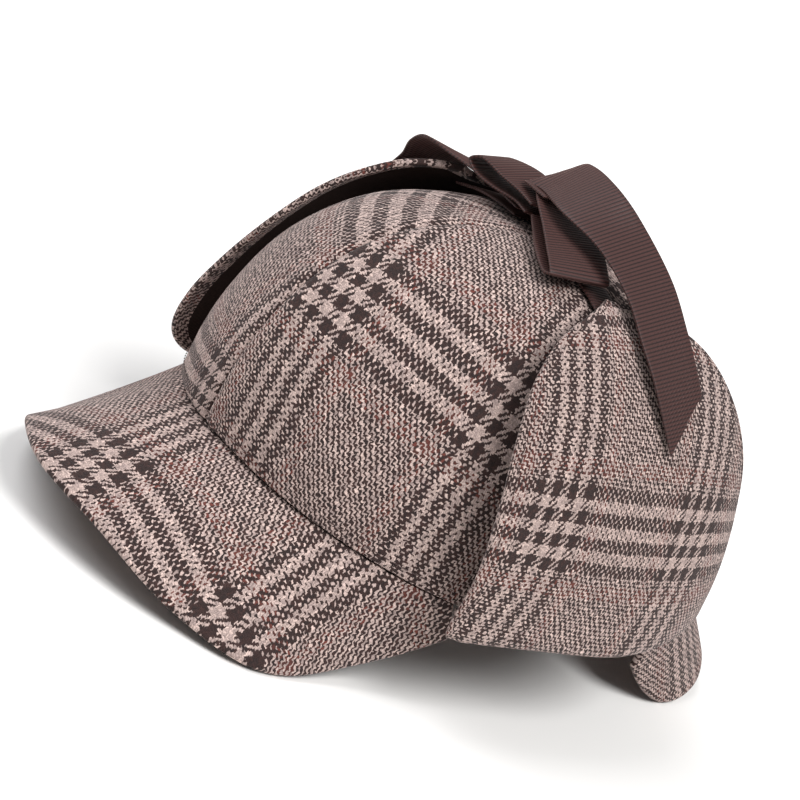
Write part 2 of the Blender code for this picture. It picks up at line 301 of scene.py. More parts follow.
def crownFace(angle, latitude):
    turn, climb = math.radians(angle), math.radians(latitude)
    spread = max(math.cos(climb), 0.0) ** crown["fullness"]
    return Vector((
        crown["halfWidth"] * spread * math.cos(turn),
        crown["halfLength"] * spread * math.sin(turn) - crown["apexForward"] * math.sin(climb),
        rimHeight(angle) * (1 - math.sin(climb)) + crown["height"] * math.sin(climb)))


def crownPoint(angle, latitude, gap):
    here, nudge = crownFace(angle, latitude), 0.05
    aside = crownFace(angle + nudge, latitude) - here
    above = crownFace(angle, latitude + nudge) - here
    return here + gap * aside.cross(above).normalized()


def rimOutward(angle):
    turn = math.radians(angle)
    return Vector((crown["halfLength"] * math.cos(turn), crown["halfWidth"] * math.sin(turn), 0)).normalized()


# Value at x of a smooth curve through the points (xs, ys)
def smooth(xs, ys, x):
    last = len(xs) - 1
    i = min(max(bisect(xs, x) - 1, 0), last - 1)

    def rise(k):
        before, after = max(k - 1, 0), min(k + 1, last)
        return (ys[after] - ys[before]) / (xs[after] - xs[before])

    span = xs[i + 1] - xs[i]
    t = (x - xs[i]) / span
    start = (1 + 2 * t) * (1 - t) ** 2 * ys[i] + t * (1 - t) ** 2 * span * rise(i)
    end = t * t * (3 - 2 * t) * ys[i + 1] + t * t * (t - 1) * span * rise(i + 1)
    return start + end


# Shares from 0 to 1 of a length, closer together in the rounded lip at each end
def lippedShares(length, step, lip):
    near = [lip * (1 - math.cos(math.radians(a))) for a in (0, 25, 45, 65)]
    count = max(2, math.ceil((length - 2 * lip) / step))
    middle = [lip + (length - 2 * lip) * k / count for k in range(count + 1)]
    return [d / length for d in near + middle + [length - d for d in reversed(near)]]


# Distance of each grid point from the four sides of the grid, along the cloth
def sideDistances(grid):
    across = np.linalg.norm(np.diff(grid, axis=0), axis=2)
    along = np.linalg.norm(np.diff(grid, axis=1), axis=2)
    fromStart = np.vstack([np.zeros((1, grid.shape[1])), np.cumsum(across, axis=0)])
    fromRoot = np.hstack([np.zeros((grid.shape[0], 1)), np.cumsum(along, axis=1)])
    return fromStart, fromStart[-1:] - fromStart, fromRoot, fromRoot[:, -1:] - fromRoot


def gridNormals(grid):
    normals = np.cross(np.gradient(grid, axis=0), np.gradient(grid, axis=1))
    return normals / np.maximum(np.linalg.norm(normals, axis=2, keepdims=True), 1e-9)


def roundedLip(distance, half):
    inside = np.clip(distance / half, 0.0, 1.0)
    return half * np.sqrt(np.maximum(1 - (1 - inside) ** 2, 0.0))


# Lets the weave run on round a rounded edge, where it would otherwise look stretched
def wrapped(cloth, distance, half, outward):
    inside = np.clip(distance / half, 0.0, 1.0)
    extra = half * (inside - np.arccos(1 - inside) + math.pi / 2 - 1)
    return cloth + extra[..., None] * outward / np.linalg.norm(outward, axis=-1, keepdims=True)


def inScene(name, data):
    made = bpy.data.objects.new(name, data)
    bpy.context.scene.collection.objects.link(made)
    return made


# A smooth piece, with each point's place in the flat cloth as its UVs
def clothMesh(name, points, faces, places, finishes):
    mesh = bpy.data.meshes.new(name)
    mesh.from_pydata([tuple(p) for p in points], [], [tuple(int(k) for k in face) for face in faces])
    flat = np.array(places) * mm
    corners = np.empty(len(mesh.loops), dtype=np.int32)
    mesh.loops.foreach_get("vertex_index", corners)
    layer = mesh.uv_layers.new(name="cloth")
    layer.data.foreach_set("uv", flat[corners].astype(np.float32).ravel())
    mesh.polygons.foreach_set("use_smooth", [True] * len(mesh.polygons))
    for finish in finishes:
        mesh.materials.append(finish)
    mesh.update()
    return inScene(name, mesh)


# A closed piece of cloth round the grid of its middle: half is half its wall at each point, and
# where the given mask is true, the under side has the second finish, which is painted shade
def clothPiece(name, grid, half, cloth, finishes, normals=None, shadeUnder=None):
    normals = gridNormals(grid) if normals is None else normals
    columns, rows = grid.shape[:2]
    upper = grid + normals * half[..., None]
    lower = grid - normals * half[..., None]
    points = [standing(p) for p in upper.reshape(-1, 3)]
    places = [tuple(p) for p in cloth.reshape(-1, 2)]
    upperAt = np.arange(columns * rows).reshape(columns, rows)
    lowerAt = upperAt.copy()
    for i in range(1, columns - 1):
        for j in range(1, rows - 1):
            lowerAt[i, j] = len(points)
            points.append(standing(lower[i, j]))
            places.append(tuple(cloth[i, j]))
    faces = []
    for i in range(columns - 1):
        for j in range(rows - 1):
            faces.append((upperAt[i, j], upperAt[i + 1, j], upperAt[i + 1, j + 1], upperAt[i, j + 1]))
            faces.append((lowerAt[i, j + 1], lowerAt[i + 1, j + 1], lowerAt[i + 1, j], lowerAt[i, j]))
    piece = clothMesh(name, points, faces, places, finishes)
    if shadeUnder is not None:
        marks = np.zeros((columns - 1, rows - 1, 2), dtype=np.int32)
        marks[..., 1] = shadeUnder[:-1, :-1] & shadeUnder[1:, 1:]
        piece.data.polygons.foreach_set("material_index", marks.ravel())
        piece.data.update()
    return piece


def inPlace(piece, slot, *nodes):
    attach(piece, "root")
    if nodes:
        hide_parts(*nodes)


# Gentle unevenness of soft cloth, in mm
def softness(cloth, amount, seed):
    x, y = cloth[..., 0], cloth[..., 1]
    return amount * (
        0.5 * np.sin(x / 15 + seed) * np.sin(y / 19 + 2.1 * seed)
        + 0.3 * np.sin((x + 0.6 * y) / 9 + 1.7 * seed)
        + 0.2 * np.sin((0.5 * x - y) / 6 + 0.9 * seed))


# Where a point of the crown or of a flap lies in its flat cloth, whose middle line faces an angle
def domeCloth(point, faces, reach):
    p = Vector((point[0] / crown["halfWidth"], point[1] / crown["halfLength"], point[2] / crown["height"]))
    turn = math.radians(faces)
    front = Vector((math.cos(turn), math.sin(turn), 0))
    side = Vector((-math.sin(turn), math.cos(turn), 0))
    p.normalize()
    return reach * math.asin(max(-1.0, min(1.0, p.dot(side)))), reach * math.atan2(p.z, p.dot(front))


# Puts a piece's flat cloth on the check, as it was cut and eased into shape: each row of the lay
# is what x, y and x squared add to the place across or up the check, and where it starts
def laid(cloth, lay):
    x, y = cloth[..., 0], cloth[..., 1]
    return np.stack([lay[key][0] * x + lay[key][1] * y + lay[key][2] * x * x + lay[key][3]
                     for key in ("across", "up")], axis=-1)


gores = {
    "crown_front_left": {"start": -90, "lay": {
        "across": (0.938, -0.06, 0.00091, 56.9), "up": (0.168, 0.927, -0.00177, -41.6)}},
    "crown_back_left": {"start": 0, "lay": {
        "across": (0.95, 0.0, 0.0, 30.0), "up": (0.0, 0.95, -0.0006, -30.0)}},
    "crown_back_right": {"start": 90, "lay": {
        "across": (0.95, 0.05, 0.0, 52.0), "up": (-0.05, 0.95, -0.0006, -8.0)}},
    "crown_front_right": {"start": 180, "lay": {
        "across": (0.94, 0.06, 0.0, 6.0), "up": (-0.1, 0.94, -0.001, 15.1)}},
}
goreMake = {
    "side": 150.0, "step": 2.4,     # mm, about: each side, and each square of the grid
    "free": 0.02, "top": 89.9,      # degrees: what each side seam leaves free, and the last latitude
    "dome": 96.0,                   # radius of the ball that the flat cloth is taken from
    "seamRidge": 0.35, "ridgeAt": 4.0, "ridgeWidth": 2.2, "seamSink": 0.35, "sinkWidth": 1.5,
    "softness": 0.55, "calmSeam": 12.0, "calmTop": 30.0,    # it fades out this near to a seam and the top
}


def makeGore(name, gore):
    make = goreMake
    shares = lippedShares(make["side"], make["step"], crown["wall"] / 2)
    grid = np.zeros((len(shares), len(shares), 3))
    cloth = np.zeros((len(shares), len(shares), 2))
    for i, u in enumerate(shares):
        angle = gore["start"] + make["free"] + u * (90 - 2 * make["free"])
        for j, v in enumerate(shares):
            latitude = make["top"] * math.sin(math.radians(90 * v))
            grid[i, j] = crownPoint(angle, latitude, -crown["wall"] / 2)
            cloth[i, j] = domeCloth(crownFace(angle, latitude), gore["start"] + 45, make["dome"])
    fromStart, fromEnd, fromRim, fromTop = sideDistances(grid)
    seam = np.minimum(fromStart, fromEnd)
    relief = (make["seamRidge"] * np.exp(-((seam - make["ridgeAt"]) / make["ridgeWidth"]) ** 2)
              - make["seamSink"] * np.exp(-(seam / make["sinkWidth"]) ** 2))
    offSeam, offTop = np.clip(seam / make["calmSeam"], 0, 1), np.clip(fromTop / make["calmTop"], 0, 1)
    relief += softness(cloth, make["softness"], gore["start"] / 50) * offSeam * offTop
    grid += gridNormals(grid) * relief[..., None]
    half = roundedLip(np.minimum(np.minimum(seam, fromRim), fromTop), crown["wall"] / 2)
    piece = clothPiece(name + "_cloth", grid, half, laid(cloth, gore["lay"]), [tweed])
    inPlace(piece, "tweed", name)


for name, gore in gores.items():
    makeGore(name, gore)
print("crown made")

# Cuts are (share, length, slope) from a peak's middle at 0 to either end at 1
peaks = {
    "front_peak": {
        "faces": -90, "halfAngle": 68, "seed": 10,
        "tuck": (6.0, 6.5),             # back and up: each end runs in under the flap's fold
        "cuts": ((-0.2, 54.6, 32.3), (0.0, 57.8, 27.3), (0.2, 54.6, 32.3), (0.4, 53.1, 46.0),
                 (0.6, 50.3, 55.0), (0.8, 35.2, 80.0), (1.0, 19.4, 97.2)),
        "lay": {"across": (0.88, 0.203, -0.00064, 15.4), "up": (-0.233, 0.902, 0.00097, 57.8)},
    },
    "back_peak": {
        "faces": 90, "halfAngle": 44, "seed": 9, "tuck": (0.0, 0.0),
        "cuts": ((-0.25, 56.2, 53.0), (0.0, 56.0, 50.2), (0.25, 56.2, 53.0), (0.5, 56.0, 62.0),
                 (0.75, 50.8, 76.6), (1.0, 33.3, 96.0)),
        "lay": {"across": (0.93, 0.0, 0.0, 62.0), "up": (0.0, 0.93, 0.0, 82.0)},
    },
}
peakMake = {
    "wall": 3.0, "rootDepth": 1.2,
    "span": 240.0, "reach": 56.0, "step": 2.0,      # mm, about, for the grid
    "softness": 0.35, "calmEdge": 12.0,
    "turning": ((1.2, 0.0), (2.4, 1.4), (3.6, 1.8)),    # seam turning: in from the root, and up
    "tuckFrom": 0.93,                               # share of each half where the tuck starts
}


# Third corner of a triangle whose other corners and side lengths are known
def thirdCorner(a, b, fromA, fromB, side):
    line = b - a
    length = line.length
    run = (fromA ** 2 - fromB ** 2 + length ** 2) / (2 * length)
    off = math.sqrt(max(fromA ** 2 - run ** 2, 0.0))
    along = line / length
    return a + along * run + side * off * Vector((-along.y, along.x))


# Rolls a straight-ruled strip flat, from its middle to both ends
def unrolled(roots, edges):
    middle = len(roots) // 2
    flatRoots = {middle: Vector((0, 0))}
    flatEdges = {middle: Vector((0, -(roots[middle] - edges[middle]).length))}
    for way in (1, -1):
        k = middle
        while 0 <= k + way < len(roots):
            n = k + way
            flatRoots[n] = thirdCorner(flatRoots[k], flatEdges[k], (roots[n] - roots[k]).length,
                                       (roots[n] - edges[k]).length, way)
            flatEdges[n] = thirdCorner(flatRoots[n], flatEdges[k], (edges[n] - roots[n]).length,
                                       (edges[n] - edges[k]).length, way)
            k = n
    return flatRoots, flatEdges


def peakLine(peak, u):
    shares, lengths, slopes = zip(*peak["cuts"])
    side = 2 * u - 1
    angle = peak["faces"] + peak["halfAngle"] * side
    length = smooth(shares, lengths, abs(side))
    slope = math.radians(smooth(shares, slopes, abs(side)))
    rim, outward = crownFace(angle, 0), rimOutward(angle)
    root = rim - peakMake["rootDepth"] * outward - Vector((0, 0, crown["sewnGap"]))
    edge = rim + length * (math.cos(slope) * outward - Vector((0, 0, math.sin(slope))))
    tuck = max(0.0, (abs(side) - peakMake["tuckFrom"]) / (1 - peakMake["tuckFrom"]))
    nudge = 0.1
    onward = (crownFace(angle + nudge, 0) - crownFace(angle - nudge, 0)).normalized() * math.copysign(1, side)
    edge += tuck * (peak["tuck"][0] * onward + Vector((0, 0, peak["tuck"][1])))
    return root, edge, outward


def makePeak(name, peak):
    thin = peakMake["wall"] / 2
    shares = lippedShares(peakMake["span"], peakMake["step"], thin)
    rises = lippedShares(peakMake["reach"], peakMake["step"], thin)
    lines = [peakLine(peak, u) for u in shares]
    roots, edges = [line[0] for line in lines], [line[1] for line in lines]
    flatRoots, flatEdges = unrolled(roots, edges)
    # rows run from the outer edge up to the root, so that the faces point up
    turning = peakMake["turning"]
    grid = np.array([[edges[i].lerp(roots[i], v) for v in rises]
                     + [roots[i] - inward * lines[i][2] + Vector((0, 0, rise)) for inward, rise in turning]
                     for i in range(len(shares))])
    cloth = np.array([[flatEdges[i].lerp(flatRoots[i], v) for v in rises]
                      + [flatRoots[i] + Vector((0, inward)) for inward, rise in turning]
                      for i in range(len(shares))])
    normals = gridNormals(grid)
    fromStart, fromEnd, fromEdge, fromRoot = sideDistances(grid)
    near = np.minimum(np.minimum(fromStart, fromEnd), np.minimum(fromEdge, fromRoot))
    relief = softness(cloth, peakMake["softness"], peak["seed"]) * np.clip(near / peakMake["calmEdge"], 0, 1)
    grid += normals * (relief - thin)[..., None]
    half = roundedLip(near, thin)
    piece = clothPiece(name + "_cloth", grid, half, laid(cloth, peak["lay"]), [tweed], normals)
    inPlace(piece, "tweed", name)


for name, peak in peaks.items():
    makePeak(name, peak)
print("peaks made")

# Edges are (latitude, front angle, back angle, front gap, middle gap, back gap), as if on the left
flaps = {
    "ear_flap_left": {
        "side": 1, "sag": 7.0, "faces": 10,
        "edges": ((0, -24.8, 44.6, 16.0, 9.2, 5.0), (10, -24.3, 45.0, 18.0, 9.0, 6.0),
                  (23, -25.4, 46.0, 18.0, 8.2, 7.5), (34, -26.5, 46.0, 16.0, 7.6, 9.5),
                  (46, -26.3, 45.0, 13.3, 7.2, 9.7), (57, -21.5, 41.0, 10.5, 7.2, 9.0),
                  (64, -13.0, 33.0, 8.8, 7.0, 8.0), (70, -3.0, 17.0, 7.0, 6.8, 7.0)),
        "lay": {"across": (1.007, -0.124, -0.00104, 61.9), "up": (-0.029, 1.051, -0.00031, -23.8)},
    },
    "ear_flap_right": {
        "side": -1, "sag": 12.5, "faces": 170,
        "edges": ((0, -32.0, 44.6, 23.4, 9.2, 5.0), (7, -32.0, 45.0, 21.2, 9.0, 6.0),
                  (15, -32.0, 46.0, 17.3, 8.6, 7.0), (23, -32.0, 46.0, 14.0, 8.2, 8.0),
                  (31, -31.0, 46.0, 12.2, 7.8, 9.0), (40, -28.5, 45.0, 11.8, 7.4, 9.6),
                  (49, -25.0, 44.0, 11.4, 7.2, 9.7), (57, -20.5, 40.0, 11.4, 7.2, 9.4),
                  (63, -16.5, 33.0, 10.6, 7.0, 8.4), (68, -10.0, 17.0, 9.4, 6.8, 7.4)),
        "lay": {"across": (1.0, 0.1, -0.001, 40.0), "up": (0.03, 1.05, -0.0003, -12.0)},
    },
}
flapMake = {
    "wall": 2.6, "root": (-21.6, 44.6),     # mm, and the angles of the rim that it is sewn along
    "span": 104.0, "reach": 125.0, "step": 2.0, "foldRows": 22,     # mm, about, and rows of the grid
    "edgeHalf": 2.1, "rollEnds": 5.0, "rollIn": 0.7,    # the rolled edge: half its wall, its width, set back
    "foldShare": 0.25, "foldTop": 1.2,      # share of the flap in the fold, and the latitude where it ends
    "foldOut": 0.45, "foldUp": 2.0, "backSag": 3.8, "flare": 0.45,
    "dome": 104.0,                          # radius of the ball that the flat cloth is taken from
    "softness": 0.5, "calmEdge": 14.0,
    "stitchIn": 2.6, "stitchSink": 0.55, "stitchWidth": 0.6, "stitchUp": 0.08,      # mm
    "shadeInset": 5, "tipShadeInset": 7,                  # rows of tweed on the side towards the crown before the painted shade starts
}
flapSeams = {}


# Where a flap's fold runs, from under the rim at 0 out and up to the flap's face at 1
def foldPoint(root, far, reach, sag, along):
    low = crown["sewnGap"] + flapMake["wall"] / 2
    out = (-crown["wall"], flapMake["foldOut"] * reach, reach, reach)
    up = (-low, -low - sag, -low - sag, flapMake["foldUp"])
    weights = ((1 - along) ** 3, 3 * along * (1 - along) ** 2, 3 * along ** 2 * (1 - along), along ** 3)
    offset = sum(w * a for w, a in zip(weights, out))
    height = sum(w * a for w, a in zip(weights, up))
    swing = max(0.0, (offset - crown["wall"]) / (reach - crown["wall"]))
    angle = root + swing * (far - root)
    return crownFace(angle, 0) + offset * rimOutward(angle) + Vector((0, 0, height))


def flapPoint(flap, share, v):
    latitudes, *columns = zip(*flap["edges"])
    climb = max(0.0, (v - flapMake["foldShare"]) / (1 - flapMake["foldShare"]))
    latitude = flapMake["foldTop"] + climb * (latitudes[-1] - flapMake["foldTop"])
    front, back, frontGap, middleGap, backGap = (smooth(latitudes, c, latitude) for c in columns)
    angle = front + share * (back - front)
    flare = max(0.0, 1 - share / flapMake["flare"]) ** 2
    gap = middleGap + (frontGap - middleGap) * flare + (backGap - middleGap) * share ** 4
    if v < flapMake["foldShare"]:
        rootFront, rootBack = flapMake["root"]
        root = rootFront + share * (rootBack - rootFront)
        sag = flapMake["backSag"] * share ** 2 + flap["sag"] * max(0.0, 1 - 2 * share) ** 2.2
        point = foldPoint(root, angle, gap, sag, v / flapMake["foldShare"])
    else:
        point = crownPoint(angle, latitude, gap)
    return Vector((flap["side"] * point.x, point.y, point.z))


def makeFlap(name, flap):
    make = flapMake
    shares = lippedShares(make["span"], make["step"], make["edgeHalf"])
    # the folded-up part starts where the fold ends, so it has no lip there
    fold, turnUp, lipRows = make["foldShare"], make["foldRows"], 4
    rises = [fold * k / turnUp for k in range(turnUp)]
    lifted = lippedShares(make["reach"], make["step"], make["edgeHalf"])[lipRows:]
    rises += [fold + (1 - fold) * s for s in lifted]
    grid = np.zeros((len(shares), len(rises), 3))
    for i, u in enumerate(shares):
        share = u if flap["side"] > 0 else 1 - u
        for j, v in enumerate(rises):
            grid[i, j] = flapPoint(flap, share, v)
    normals = gridNormals(grid)
    fromStart, fromEnd, fromRoot, fromTip = sideDistances(grid)
    # the folded-up part takes its flat place from the dome, and the fold runs on below it
    cloth = np.zeros(grid.shape[:2] + (2,))
    for i in range(len(shares)):
        for j in range(len(rises)):
            cloth[i, j] = domeCloth(grid[i, max(j, turnUp)], flap["faces"], make["dome"])
        cloth[i, :turnUp, 1] -= (fromRoot[i, turnUp] - fromRoot[i, :turnUp])
    free = np.minimum(np.minimum(fromStart, fromEnd), fromTip)
    full, thin, inset = make["edgeHalf"], make["wall"] / 2, make["stitchIn"]
    fade = np.clip((free - full) / (make["rollEnds"] - full), 0, 1)
    fade = fade * fade * (3 - 2 * fade)
    stitched = make["stitchSink"] * np.exp(-((free - inset) / make["stitchWidth"]) ** 2)
    half = roundedLip(free, full) * (1 - fade) + thin * fade - stitched
    half = np.clip(np.minimum(half, roundedLip(fromRoot, thin)), 0, None)
    outer = softness(cloth, make["softness"], flap["side"]) * np.clip(free / make["calmEdge"], 0, 1)
    grid += normals * (outer - make["rollIn"] * (1 - fade))[..., None]
    # the edge stitching runs up one side, over the tip and down the other
    surface = grid + normals * (half + make["stitchUp"])[..., None]
    sides = [[Vector([np.interp(inset, distance[:, j], surface[order, j, k]) for k in range(3)])
              for j in range(turnUp, len(rises)) if fromTip[len(shares) // 2, j] > inset]
             for distance, order in ((fromStart, slice(None)), (fromEnd[::-1], slice(None, None, -1)))]
    top = [Vector([np.interp(inset, fromTip[i, ::-1], surface[i, ::-1, k]) for k in range(3)])
           for i in range(len(shares)) if min(fromStart[i, -1], fromEnd[i, -1]) > inset]
    flapSeams[name] = sides[0] + top + sides[1][::-1]
    # outwards is from the ninth row towards the edge
    cloth = wrapped(cloth, fromStart, full, cloth[:1] - cloth[8:9])
    cloth = wrapped(cloth, fromEnd, full, cloth[-1:] - cloth[-9:-8])
    cloth = wrapped(cloth, fromTip, full, cloth[:, -1:] - cloth[:, -9:-8])
    # the flap's side towards the crown, inside the tweed rows at its edges, gets the painted shade
    shadedFaces = np.zeros(free.shape, dtype=bool)
    shadedFaces[make["shadeInset"]:-make["shadeInset"], :-make["tipShadeInset"]] = True
    finishes = [tweed, paintedShade]
    piece = clothPiece(name + "_cloth", grid, half, laid(cloth, flap["lay"]), finishes, normals, shadedFaces)
    inPlace(piece, "tweed", name)


for name, flap in flaps.items():
    makeFlap(name, flap)
print("ear flaps made")

# Sections are (x, y, z, width, turn, lean) from the crown's apex
ribbons = {
    "ribbon_lead_left": (
        (48.5, 2.5, -6.6, 12, 0, 0), (41.0, 2.5, -4.3, 12, 0, 0), (33.0, 2.0, -2.3, 12, 0, 0),
        (20.0, 0.5, 0.4, 13, 0, 0), (2.4, -1.0, 2.2, 14, 0, 0)),
    "ribbon_lead_right": (
        (-48.5, 1.0, -6.6, 17, 0, 0), (-40.0, 0.5, -3.7, 17, 0, 0), (-30.0, 0.0, -1.2, 17, 0, 0),
        (-20.0, -0.5, 0.4, 17, 0, 0), (-9.4, -1.5, 1.6, 17, 0, 0)),
    "bow_loop_left": (
        (-6.0, 0.0, 13.6, 20, 0, 0), (0.5, -2.6, 11.6, 21, 2, -4), (11.0, -4.5, 9.4, 23, 5, 2),
        (23.0, -7.0, 6.8, 25, 3, 7), (31.5, -9.6, 4.3, 25, 0, 5), (35.5, -10.6, 2.2, 25, -3, 4),
        (32.0, -10.6, 0.6, 25, -3, 2), (20.0, -8.5, 2.6, 24, 0, 0), (8.0, -4.2, 4.8, 22, 0, 0),
        (-1.0, -1.0, 6.4, 20, 0, 0)),
    "bow_loop_right": (
        (-1.5, -2.6, 9.6, 20, 0, 0), (-9.5, -3.4, 11.2, 22, 6, 3), (-18.6, -7.5, 12.9, 24, 18, 5),
        (-28.0, -13.0, 13.0, 25, 27, -3), (-31.0, -15.0, 10.4, 25, 27, -3), (-28.0, -13.0, 7.6, 25, 27, -3),
        (-19.0, -8.0, 6.8, 23, 16, 0), (-9.5, -3.2, 6.8, 21, 4, 0), (-2.5, -2.6, 6.0, 20, 0, 0)),
    "ribbon_tail_left": (
        (1.5, -2.0, 14.5, 20, 0, 0), (-7.0, -1.5, 15.0, 21, 0, 6), (-13.5, -0.5, 17.2, 23, 10, 20),
        (-7.6, 0.4, 20.4, 24, 18, 28), (11.0, -1.0, 21.0, 24, 8, 31), (26.0, 6.0, 16.5, 24, 17, 20),
        (43.7, 11.8, 8.3, 24, 18, 15), (57.7, 15.5, -1.7, 24.5, 19, 13), (66.4, 20.8, -11.2, 25, 21, 10),
        (76.6, 33.4, -30.5, 25, 22, 8)),
    "ribbon_tail_right": (
        (-9.4, -1.0, 4.4, 20, 0, 0), (-24.0, 1.0, 3.8, 23, 0, 0), (-37.0, 0.5, 3.4, 25, 0, 0),
        (-47.0, -4.5, 2.6, 25, 0, -4), (-56.5, -10.0, 1.4, 25, -5, -10), (-63.0, -9.5, -3.4, 25, -5, -8),
        (-70.0, -5.5, -11.0, 25, 0, -4), (-93.0, -4.0, -46.0, 25, 0, 0)),
}
ribbonMake = {
    "wall": 0.9, "ribDepth": 0.11, "held": "hung",
    "endCut": 18.0,                                 # mm that a free end is cut off its far corner
    "width": 25.0, "step": 2.2, "stepsPerRib": 4,   # for the grid
    "selvage": 0.5, "selvageFade": 0.8,             # plain edge, and how soon the ribs rise beside it
    "endLip": 0.2,
}


def makeRibbon(name, sections):
    make = ribbonMake
    cut = make["endCut"] if "tail" in name else 0.0
    apex = crownFace(0, 90)
    run = [0.0]
    for a, b in zip(sections, sections[1:]):
        run.append(run[-1] + math.dist(a[:3], b[:3]))
    columns = list(zip(*sections))
    half = make["wall"] / 2
    shares = lippedShares(make["width"], make["step"], half)
    count = int(run[-1] / grosgrainLook["ribPitch"] * make["stepsPerRib"])
    grid = np.zeros((len(shares), count + 1, 3))
    cloth = np.zeros((len(shares), count + 1, 2))
    for j in range(count + 1):
        for i, u in enumerate(shares):
            distance = j / count * (run[-1] - cut * u)
            x, y, z, width, turn, lean = (smooth(run, column, distance) for column in columns)
            turn, lean = math.radians(turn), math.radians(lean)
            level = math.cos(lean)
            across = Vector((-math.sin(turn) * level, math.cos(turn) * level, math.sin(lean)))
            grid[i, j] = apex + Vector((x, y, z)) + (u - 0.5) * width * across
            cloth[i, j] = (u * width, distance)
    normals = gridNormals(grid)
    fromStart, fromEnd, fromRoot, fromTip = sideDistances(grid)
    rib = make["ribDepth"] * np.cos(2 * math.pi * cloth[..., 1] / grosgrainLook["ribPitch"])
    side = np.minimum(fromStart, fromEnd)
    halves = roundedLip(side, half) + rib * np.clip((side - make["selvage"]) / make["selvageFade"], 0, 1)
    halves *= np.clip(np.minimum(fromRoot, fromTip) / make["endLip"], 0, 1) ** 0.5
    piece = clothPiece(name + "_cloth", grid, halves, cloth, [grosgrain], normals)
    inPlace(piece, "grosgrain", name)


for name, sections in ribbons.items():
    makeRibbon(name, sections)
print("ribbons made")

# The knot: a turn of the ribbon drawn tight round the middle of the bow
knot = {
    "centre": Vector((-3.5, 3.4, 6.4)), "size": Vector((11.0, 15.5, 12.2)),
    "around": 180, "across": 40,        # points
    "squared": (0.7, 0.8),              # below 1 squares its section off, in y and z
    "girthAtEnds": 0.8,
    "pleats": 3, "pleat": 0.55, "pleatBend": 0.12, "ribs": 45, "rib": 0.1, "sunk": 0.5,
    "reliefOver": 12.0,                 # mm of girth that pleats and ribs are a share of
    "gathered": 0.7,
}


def makeKnot(knot):
    centre = crownFace(0, 90) + knot["centre"]
    around, across, least = knot["around"], knot["across"], knot["girthAtEnds"]
    points, places, faces = [], [], []
    for k in range(around):
        turn = 2 * math.pi * k / around
        c, s = math.cos(turn), math.sin(turn)
        y = knot["size"].y / 2 * math.copysign(abs(c) ** knot["squared"][0], c)
        z = knot["size"].z / 2 * math.copysign(abs(s) ** knot["squared"][1], s)
        bend = knot["pleatBend"] * math.sin(turn + 0.5)
        rib = knot["rib"] * math.cos(2 * math.pi * k * knot["ribs"] / around)
        for n in range(across + 1):
            w = 2 * n / across - 1
            swell = math.sqrt(max(1 - abs(w) ** 5, 0.0))
            pleat = knot["pleat"] * math.cos(math.pi * knot["pleats"] * (w + bend))
            shrink = least + (1 - least) * swell
            reach = 1 + (pleat + rib - knot["sunk"]) / knot["reliefOver"] * swell
            points.append(standing(centre + Vector((
                -knot["size"].x / 2 * w, y * shrink * reach, z * shrink * reach))))
            places.append((knot["size"].x * (w + 1) * knot["gathered"],
                           k / around * knot["ribs"] * grosgrainLook["ribPitch"]))
    for k in range(around):
        for n in range(across):
            a, b = k * (across + 1) + n, ((k + 1) % around) * (across + 1) + n
            faces.append((a, b, b + 1, a + 1))
    # both ends are closed round a point in their middle
    for n in (0, across):
        ring = [k * (across + 1) + n for k in range(around)]
        hub = len(points)
        points.append(sum((Vector(points[i]) for i in ring), Vector()) / around)
        places.append((0.0, 0.0))
        for a, b in zip(ring, ring[1:] + ring[:1]):
            faces.append((a, b, hub) if n else (b, a, hub))
    piece = clothMesh("bow_knot_cloth", points, faces, places, [grosgrain])
    inPlace(piece, "grosgrain", "bow_knot")


makeKnot(knot)
print("knot made")

stitchMake = {
    "length": 2.6, "space": 0.9, "thick": 0.42, "strayTurn": 3.0,       # mm and degrees
    "sides": 8, "rings": 6, "seed": 7,
    "latitude": 2.2, "standOff": 0.12, "shortOfEnds": 2.0, "points": 241,       # the rows over the peaks
}


